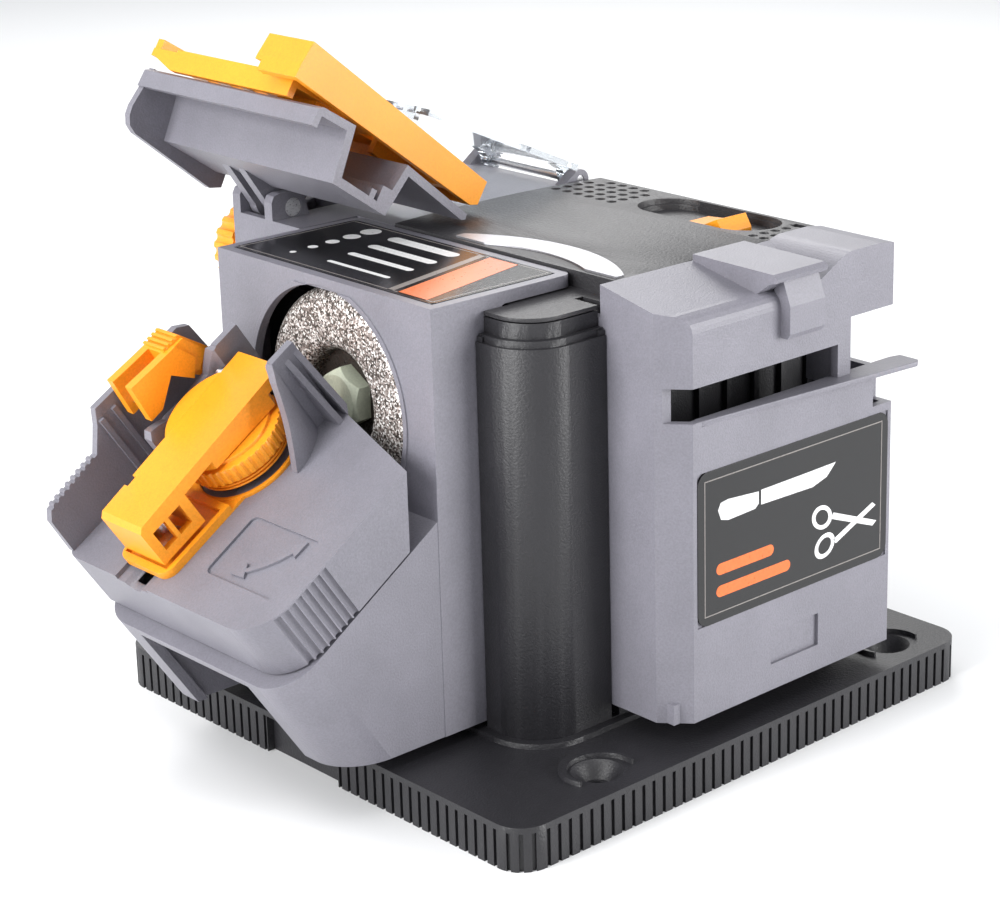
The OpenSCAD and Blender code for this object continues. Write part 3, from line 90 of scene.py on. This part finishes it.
def make_world():
    """Soft even light; camera, glossy and transmission rays see plain white instead."""
    world = bpy.data.worlds.new("studio")
    scene.world = world
    world.use_nodes = True
    tree = world.node_tree
    tree.nodes.clear()
    out = tree.nodes.new("ShaderNodeOutputWorld")
    mix = tree.nodes.new("ShaderNodeMixShader")
    soft = tree.nodes.new("ShaderNodeBackground")
    soft.inputs["Color"].default_value = (0.93, 0.96, 1.0, 1)
    soft.inputs["Strength"].default_value = 0.5
    seen = tree.nodes.new("ShaderNodeBackground")
    seen.inputs["Color"].default_value = (1, 1, 1, 1)
    seen.inputs["Strength"].default_value = 1.0
    path = tree.nodes.new("ShaderNodeLightPath")
    shown = path.outputs["Is Camera Ray"]
    for kind in ("Is Glossy Ray", "Is Transmission Ray"):
        both = tree.nodes.new("ShaderNodeMath")
        both.operation = "MAXIMUM"
        tree.links.new(shown, both.inputs[0])
        tree.links.new(path.outputs[kind], both.inputs[1])
        shown = both.outputs["Value"]
    tree.links.new(shown, mix.inputs[0])
    tree.links.new(soft.outputs[0], mix.inputs[1])
    tree.links.new(seen.outputs[0], mix.inputs[2])
    tree.links.new(mix.outputs[0], out.inputs["Surface"])


def area(name, pos, target, size, power):
    data = bpy.data.lights.new(name, "AREA")
    data.shape = "RECTANGLE"
    data.size, data.size_y = size
    data.energy = power
    obj = bpy.data.objects.new(name, data)
    obj.location = pos
    obj.rotation_euler = (Vector(target) - Vector(pos)).to_track_quat("-Z", "Y").to_euler()
    scene.collection.objects.link(obj)


make_world()
area("key_top", (-0.45, 0.1, 1.2), (0, 0, 0.08), (0.8, 0.8), 7)
area("fill_left", (-1.35, 0.15, 0.55), (0, 0, 0.06), (0.8, 0.9), 23)
area("fill_right", (0.75, -1.2, 0.4), (0, 0, 0.06), (0.8, 0.8), 22)
area("rim_back", (0.8, 0.9, 0.9), (0, 0, 0.1), (0.6, 0.6), 6)


# ---------------------------------------------------------------- materials
def new_mat(name):
    m = bpy.data.materials.new(name)
    m.use_nodes = True
    tree = m.node_tree
    bsdf = tree.nodes["Principled BSDF"]
    coord = tree.nodes.new("ShaderNodeTexCoord")
    return m, tree, bsdf, coord


def noise(tree, coord, scale, detail=2.0, rough=0.5):
    n = tree.nodes.new("ShaderNodeTexNoise")
    n.inputs["Scale"].default_value = scale
    n.inputs["Detail"].default_value = detail
    n.inputs["Roughness"].default_value = rough
    tree.links.new(coord.outputs["Object"], n.inputs["Vector"])
    return n


def ramp(tree, src, stops):
    r = tree.nodes.new("ShaderNodeValToRGB")
    els = r.color_ramp.elements
    while len(els) < len(stops):
        els.new(0.5)
    for el, (pos, col) in zip(els, stops):
        el.position = pos
        el.color = (*col, 1)
    tree.links.new(src, r.inputs["Fac"])
    return r


def bump(tree, bsdf, height, strength, distance):
    b = tree.nodes.new("ShaderNodeBump")
    b.inputs["Strength"].default_value = strength
    b.inputs["Distance"].default_value = distance
    tree.links.new(height, b.inputs["Height"])
    tree.links.new(b.outputs["Normal"], bsdf.inputs["Normal"])


def scaled(col, k):
    return tuple(min(1.0, c * k) for c in col)


def plastic(name, col, rough, grain, grain_scale, mottle=0.08):
    """Moulded plastic: spark-eroded grain, faint mottling in colour and gloss."""
    m, tree, bsdf, coord = new_mat(name)
    big = noise(tree, coord, 38, 3, 0.6)
    stops = [(0.3, scaled(col, 1 - mottle)), (0.7, scaled(col, 1 + mottle))]
    tint = ramp(tree, big.outputs["Fac"], stops)
    fine = noise(tree, coord, grain_scale, 2, 0.55)
    speck = ramp(tree, fine.outputs["Fac"], [(0.32, (0.86, 0.86, 0.86)), (0.68, (1.0, 1.0, 1.0))])
    both = tree.nodes.new("ShaderNodeMix")
    both.data_type = "RGBA"
    both.blend_type = "MULTIPLY"
    both.inputs["Factor"].default_value = 1.0
    tree.links.new(tint.outputs["Color"], both.inputs["A"])
    tree.links.new(speck.outputs["Color"], both.inputs["B"])
    tree.links.new(both.outputs["Result"], bsdf.inputs["Base Color"])
    gloss = tree.nodes.new("ShaderNodeMapRange")
    gloss.inputs["To Min"].default_value = rough - 0.07
    gloss.inputs["To Max"].default_value = rough + 0.07
    tree.links.new(fine.outputs["Fac"], gloss.inputs["Value"])
    tree.links.new(gloss.outputs["Result"], bsdf.inputs["Roughness"])
    bump(tree, bsdf, fine.outputs["Fac"], grain, 0.00022)
    return m


def metal(name, col, rough, streak=(1, 1, 1), grain=0.05):
    m, tree, bsdf, coord = new_mat(name)
    mapping = tree.nodes.new("ShaderNodeMapping")
    mapping.inputs["Scale"].default_value = streak
    tree.links.new(coord.outputs["Object"], mapping.inputs["Vector"])
    n = tree.nodes.new("ShaderNodeTexNoise")
    n.inputs["Scale"].default_value = 900
    n.inputs["Detail"].default_value = 3
    tree.links.new(mapping.outputs["Vector"], n.inputs["Vector"])
    tint = ramp(tree, n.outputs["Fac"], [(0.3, scaled(col, 0.9)), (0.7, scaled(col, 1.08))])
    tree.links.new(tint.outputs["Color"], bsdf.inputs["Base Color"])
    gloss = tree.nodes.new("ShaderNodeMapRange")
    gloss.inputs["To Min"].default_value = rough - 0.06
    gloss.inputs["To Max"].default_value = rough + 0.08
    tree.links.new(n.outputs["Fac"], gloss.inputs["Value"])
    tree.links.new(gloss.outputs["Result"], bsdf.inputs["Roughness"])
    bsdf.inputs["Metallic"].default_value = 1.0
    bump(tree, bsdf, n.outputs["Fac"], grain, 0.00005)
    return m


WHEEL_CENTRE = (0, 0.0085, 0.1045)  # its shaft runs along X


def grit_mat():
    """Plated diamond grit: bright and dark grains on the rim; inside it, bare metal painted near
    black as the shade of the hollow round the nut.
    """
    m, tree, bsdf, coord = new_mat("diamond_grit")
    vor = tree.nodes.new("ShaderNodeTexVoronoi")
    vor.inputs["Scale"].default_value = 1900
    tree.links.new(coord.outputs["Object"], vor.inputs["Vector"])
    sep = tree.nodes.new("ShaderNodeSeparateColor")
    tree.links.new(vor.outputs["Color"], sep.inputs["Color"])
    tint = ramp(
        tree,
        sep.outputs["Red"],
        [
            (0.0, (0.02, 0.016, 0.013)),
            (0.35, (0.14, 0.115, 0.1)),
            (0.66, (0.5, 0.43, 0.4)),
            (0.85, (1.0, 0.97, 0.94)),
        ],
    )
    flat = tree.nodes.new("ShaderNodeVectorMath")
    flat.operation = "MULTIPLY"
    flat.inputs[1].default_value = (0, 1, 1)
    tree.links.new(coord.outputs["Object"], flat.inputs[0])
    away = tree.nodes.new("ShaderNodeVectorMath")
    away.operation = "DISTANCE"
    away.inputs[1].default_value = WHEEL_CENTRE
    tree.links.new(flat.outputs["Vector"], away.inputs[0])
    # Painted shade: nearer the shaft than 13.5 mm the grit gives way to a near-black colour, blending
    # back to grit by 16.5 mm; it stands for the shade in the hollow round the nut.
    hollow_shade_mask = tree.nodes.new("ShaderNodeMapRange")
    hollow_shade_mask.inputs["From Min"].default_value = 0.0135
    hollow_shade_mask.inputs["From Max"].default_value = 0.0165
    tree.links.new(away.outputs["Value"], hollow_shade_mask.inputs["Value"])
    mix = tree.nodes.new("ShaderNodeMix")
    mix.data_type = "RGBA"
    # Near-black colour of the painted shade in the hollow round the nut.
    mix.inputs["A"].default_value = (0.05, 0.04, 0.034, 1)
    tree.links.new(hollow_shade_mask.outputs["Result"], mix.inputs["Factor"])
    tree.links.new(tint.outputs["Color"], mix.inputs["B"])
    tree.links.new(mix.outputs["Result"], bsdf.inputs["Base Color"])
    bsdf.inputs["Metallic"].default_value = 0.45
    gloss = ramp(tree, sep.outputs["Green"], [(0.0, (0.25, 0.25, 0.25)), (1.0, (0.6, 0.6, 0.6))])
    tree.links.new(gloss.outputs["Color"], bsdf.inputs["Roughness"])
    bump(tree, bsdf, sep.outputs["Blue"], 0.6, 0.0003)
    return m


def clear_mat():
    m, tree, bsdf, coord = new_mat("clear_plastic")
    bsdf.inputs["Base Color"].default_value = (0.86, 0.91, 0.96, 1)
    bsdf.inputs["Transmission Weight"].default_value = 0.94
    bsdf.inputs["IOR"].default_value = 1.49
    n = noise(tree, coord, 60, 3, 0.5)
    gloss = tree.nodes.new("ShaderNodeMapRange")
    gloss.inputs["To Min"].default_value = 0.02
    gloss.inputs["To Max"].default_value = 0.07
    tree.links.new(n.outputs["Fac"], gloss.inputs["Value"])
    tree.links.new(gloss.outputs["Result"], bsdf.inputs["Roughness"])
    return m


GREY = plastic("grey_plastic", (0.2, 0.194, 0.226), 0.42, 0.5, 1700)
BLACK = plastic("black_plastic", (0.016, 0.0155, 0.0185), 0.44, 0.6, 1500)
COVER = plastic("cover_plastic", (0.027, 0.026, 0.029), 0.46, 0.8, 1200)
ORANGE = plastic("orange_plastic", (1.0, 0.35, 0.016), 0.36, 0.12, 1500, mottle=0.05)
PALE = plastic("pale_nut", (0.6, 0.64, 0.5), 0.35, 0.1, 1500)
STEEL = metal("steel", (0.55, 0.55, 0.57), 0.28, (1, 1, 6))
COPPER = metal("copper_wire", (0.72, 0.33, 0.15), 0.35, (1, 8, 1))
GRIT = grit_mat()
FILM = plastic("label_film", (0.009, 0.009, 0.01), 0.17, 0.015, 900)
SILVER = metal("silver_film", (0.36, 0.36, 0.38), 0.42, (1, 1, 1), 0.02)
INK_WHITE = plastic("ink_white", (0.8, 0.8, 0.8), 0.3, 0.02, 900, mottle=0.02)
INK_ORANGE = plastic("ink_orange", (0.8, 0.16, 0.03), 0.3, 0.02, 900, mottle=0.04)
INK_GREY = plastic("ink_grey", (0.22, 0.2, 0.19), 0.3, 0.02, 900, mottle=0.04)
CLEAR = clear_mat()
SLOT_MAT = {
    "grey_plastic": GREY,
    "black_plastic": BLACK,
    "orange_plastic": ORANGE,
    "steel": STEEL,
    "copper": COPPER,
    "diamond_grit": GRIT,
    "label_film": FILM,
    "silver_film": SILVER,
    "clear_plastic": CLEAR,
}
OWN_MAT = {"top_cover": COVER, "hub_nut": PALE, "switch_frame": COVER}


EDGE_MM = {
    "base_plate": 0.45,
    "motor_housing": 0.5,
    "drill_attachment": 0.5,
    "knife_attachment": 0.5,
    "chisel_attachment": 0.5,
    "top_cover": 0.4,
    "drill_cradle": 0.4,
    "tool_table": 0.4,
    "clear_shield": 0.3,
    "cover_badge": 0.1,
    "drill_label": 0.05,
    "knife_label": 0.05,
}
OTHER_EDGE_MM = 0.25


def dress_cad():
    """Each CAD node gets its material, smooth curved faces and softly rounded edges."""
    for part in frame["record"]["subparts"]:
        name = part["node"]
        obj = NODES[name]
        mat = OWN_MAT.get(name, SLOT_MAT[part["material_slot"]])
        obj.data.materials.clear()
        obj.data.materials.append(mat)
        weld = obj.modifiers.new("weld", "WELD")
        weld.merge_threshold = 0.000005
        flat = obj.modifiers.new("flat", "DECIMATE")
        flat.decimate_type = "DISSOLVE"
        flat.angle_limit = math.radians(0.3)
        bev = obj.modifiers.new("edge", "BEVEL")
        bev.limit_method = "ANGLE"
        bev.angle_limit = math.radians(32)
        bev.width = EDGE_MM.get(name, OTHER_EDGE_MM) * MM
        bev.segments = 2
        bev.use_clamp_overlap = True
        bev.harden_normals = True


dress_cad()

# ---------------------------------------------------------------- printed details
def arc(cx, cy, r, a0=0.0, a1=360.0, n=48):
    turn = [math.radians(a0 + (a1 - a0) * i / n) for i in range(n + (a1 - a0 < 360))]
    return [(cx + r * math.cos(t), cy + r * math.sin(t)) for t in turn]


def bar(x0, y0, x1, y1, w):
    """Round-ended bar from one point to another, w wide."""
    a = math.degrees(math.atan2(y1 - y0, x1 - x0))
    return arc(x1, y1, w / 2, a - 90, a + 90, 16) + arc(x0, y0, w / 2, a + 90, a + 270, 16)


def ring(cx, cy, r0, r1, a=0.0, sx=1.0, n=48):
    """Flat ring as four-cornered faces, stretched by sx and turned by a."""
    c, s = math.cos(math.radians(a)), math.sin(math.radians(a))

    def at(r, i):
        t = 2 * math.pi * i / n
        x, y = r * math.cos(t) * sx, r * math.sin(t)
        return (cx + c * x - s * y, cy + s * x + c * y)

    return [[at(r0, i), at(r1, i), at(r1, i + 1), at(r0, i + 1)] for i in range(n)]


def frame_line(x0, y0, x1, y1, w):
    """Thin rectangular line with mitred corners."""
    o = [(x0, y0), (x1, y0), (x1, y1), (x0, y1)]
    i = [(x0 + w, y0 + w), (x1 - w, y0 + w), (x1 - w, y1 - w), (x0 + w, y1 - w)]
    return [[o[k], o[(k + 1) % 4], i[(k + 1) % 4], i[k]] for k in range(4)]


INK_THICK = 0.05 * MM


def printed(name, outlines, place, mat, body):
    """Thin ink: flat outlines in millimetres, put on a face by place."""
    bm = bmesh.new()
    for pts in outlines:
        bm.faces.new([bm.verts.new((x * MM, y * MM, 0)) for x, y in pts])
    bmesh.ops.remove_doubles(bm, verts=bm.verts, dist=1e-7)
    made = bmesh.ops.extrude_face_region(bm, geom=bm.faces[:])
    up = [v for v in made["geom"] if isinstance(v, bmesh.types.BMVert)]
    bmesh.ops.translate(bm, verts=up, vec=(0, 0, INK_THICK))
    bmesh.ops.recalc_face_normals(bm, faces=bm.faces)
    me = bpy.data.meshes.new(name)
    bm.to_mesh(me)
    bm.free()
    me.transform(place)
    me.materials.append(mat)
    obj = bpy.data.objects.new(name, me)
    scene.collection.objects.link(obj)
    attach(obj, body)


def drill_prints():
    """Plain bands, graded bars and growing discs on the drill attachment's black film."""
    lo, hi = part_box("drill_label")
    place = Matrix.Translation((lo.x, lo.y, hi.z - 0.01 * MM))
    w, d = (hi.x - lo.x) / MM, (hi.y - lo.y) / MM
    wide = [(1.2, 4), (w - 1.2, 14), (w - 1.2, 26), (1.2, 16)]
    printed("drill_band", [wide], place, INK_ORANGE, "drill_unit")
    thin = [(1.2, 18), (w - 1.2, 28), (w - 1.2, 30.5), (1.2, 20.5)]
    printed("drill_band_grey", [thin], place, INK_GREY, "drill_unit")
    bars = [bar(9 + k * 9.5, 30 + k * 2, 9 + k * 9.5, 56 + k * 2, 1.6 + k * 0.9) for k in range(4)]
    printed("drill_bars", bars, place, INK_WHITE, "drill_unit")
    discs = [arc(8 + k * 7.6, 72 + k * 0.6, 1 + k * 0.55) for k in range(5)]
    printed("drill_discs", discs, place, INK_WHITE, "drill_unit")
    printed("drill_line", frame_line(1.2, 1.2, w - 1.2, d - 1.2, 0.35), place, INK_GREY, "drill_unit")


def knife_prints():
    """A line, two bars, a knife and a pair of scissors on the knife attachment's black film."""
    lo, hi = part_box("knife_label")
    turn = Matrix(((1, 0, 0, 0), (0, 0, -1, 0), (0, 1, 0, 0), (0, 0, 0, 1)))
    place = Matrix.Translation((lo.x, lo.y + 0.01 * MM, lo.z)) @ turn
    w, h = (hi.x - lo.x) / MM, (hi.z - lo.z) / MM
    printed("knife_line", frame_line(2.6, 2.6, w - 2.6, h - 2.6, 0.35), place, INK_GREY, "knife_unit")
    bars = [bar(9, 9, 36, 9, 3.4), bar(9, 15.6, 29, 15.6, 3.4)]
    printed("knife_bars", bars, place, INK_ORANGE, "knife_unit")
    handle = [(8, 33.2), (9.2, 30.2), (12, 29.4), (23, 29.8)]
    handle += [(24.4, 31), (24.4, 34.6), (12, 35.6), (9, 35.2)]
    blade = [(25.4, 30.4), (47, 30), (53, 31.6), (57, 35.2), (45, 35), (25.4, 34.8)]
    printed("knife_pictogram", [handle, blade], place, INK_WHITE, "knife_unit")
    eyes = ring(52.5, 10.5, 2.3, 3.6, 25, 1.25) + ring(51.2, 19.6, 2.3, 3.6, -25, 1.25)
    low = [(56.2, 11.4), (57.4, 9.9), (75, 17.2), (73.4, 18.4)]
    high = [(54.9, 18.2), (56.2, 19.8), (75.4, 12.2), (73.6, 11)]
    above = place @ Matrix.Translation((0, 0, 0.03 * MM))
    printed("scissors_pictogram", eyes, place, INK_WHITE, "knife_unit")
    printed("scissors_blade_low", [low], place, INK_WHITE, "knife_unit")
    printed("scissors_blade_high", [high], above, INK_WHITE, "knife_unit")


drill_prints()
knife_prints()

# ---------------------------------------------------------------- floor
def make_floor():
    me = bpy.data.meshes.new("floor")
    s = 6.0
    me.from_pydata([(-s, -s, 0), (s, -s, 0), (s, s, 0), (-s, s, 0)], [], [(0, 1, 2, 3)])
    obj = bpy.data.objects.new("floor", me)
    scene.collection.objects.link(obj)
    m, tree, bsdf, coord = new_mat("studio_floor")
    bsdf.inputs["Base Color"].default_value = (0.93, 0.93, 0.93, 1)
    bsdf.inputs["Roughness"].default_value = 0.8
    bsdf.inputs["Specular IOR Level"].default_value = 0.1
    me.materials.append(m)


make_floor()
